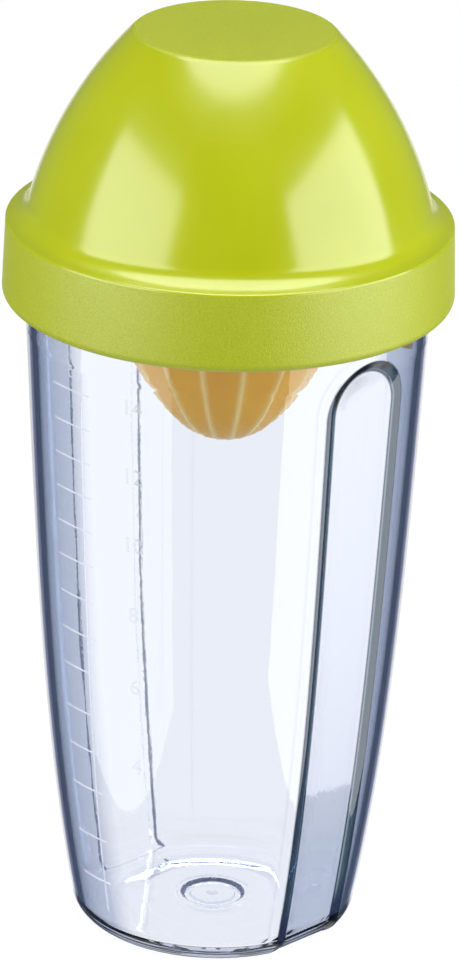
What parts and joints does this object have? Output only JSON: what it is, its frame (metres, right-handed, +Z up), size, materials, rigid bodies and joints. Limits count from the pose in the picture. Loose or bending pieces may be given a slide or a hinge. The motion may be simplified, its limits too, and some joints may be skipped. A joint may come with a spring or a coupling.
{
  "type": "shaker cup",
  "caption": "Clear tapered drink shaker with grip recesses, a hanging citrus press insert, a sealing ring and a domed screw lid.",
  "frame": {"origin": "centre of the base, in the plane that the cup stands on", "axes": "+Z up along the cup's axis to the lid's flat top; +X through the middle of one grip recess, -X through the other; the measuring scale is on -Y"},
  "size_m": [0.0894, 0.0894, 0.188],
  "materials": {
    "clear_plastic": "clear polished moulded plastic with a faint blue tint",
    "amber_plastic": "translucent satin moulded plastic",
    "silicone": "soft matt silicone",
    "green_plastic": "glossy dome and flange, fine matt texture on skirt and top disc"
  },
  "bodies": {
    "cup": {"cup": "clear_plastic"},
    "insert": {"citrus_insert": "amber_plastic"},
    "seal": {"lid_seal": "silicone"},
    "lid": {"lid": "green_plastic"}
  },
  "joints": [
    {"name": "insert_lift", "type": "slide", "parent": "cup", "child": "insert", "axis": [0, 0, 1], "range_m": [0, 0.06]},
    {"name": "lid_lift", "type": "slide", "parent": "insert", "child": "seal", "axis": [0, 0, 1], "range_m": [0, 0.05]},
    {"name": "lid_turn", "type": "hinge", "parent": "seal", "child": "lid", "pos_m": [0, 0, 0.1473], "axis": [0, 0, 1], "range_deg": [0, 120]}
  ]
}
